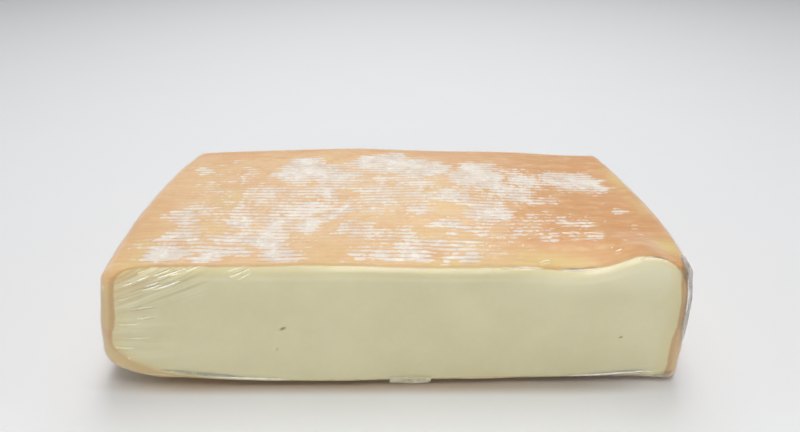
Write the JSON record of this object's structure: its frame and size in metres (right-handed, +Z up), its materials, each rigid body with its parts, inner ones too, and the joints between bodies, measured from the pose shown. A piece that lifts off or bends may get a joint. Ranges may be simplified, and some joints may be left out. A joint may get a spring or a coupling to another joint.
{
  "type": "taleggio cheese",
  "caption": "Half of a square washed-rind soft cheese, cut face forward, ribbed orange rind, wrapped tight in clear film with a small loose fold.",
  "frame": {"origin": "middle of the wrapped block's bounding box, at the table", "axes": "+X along the cut face, -Y out of the cut face towards the viewer, +Z up"},
  "size_m": [0.2002, 0.1096, 0.0482],
  "materials": {
    "cheese": "satin",
    "film": "gloss"
  },
  "bodies": {
    "root": {"taleggio": "cheese"}
  },
  "joints": []
}
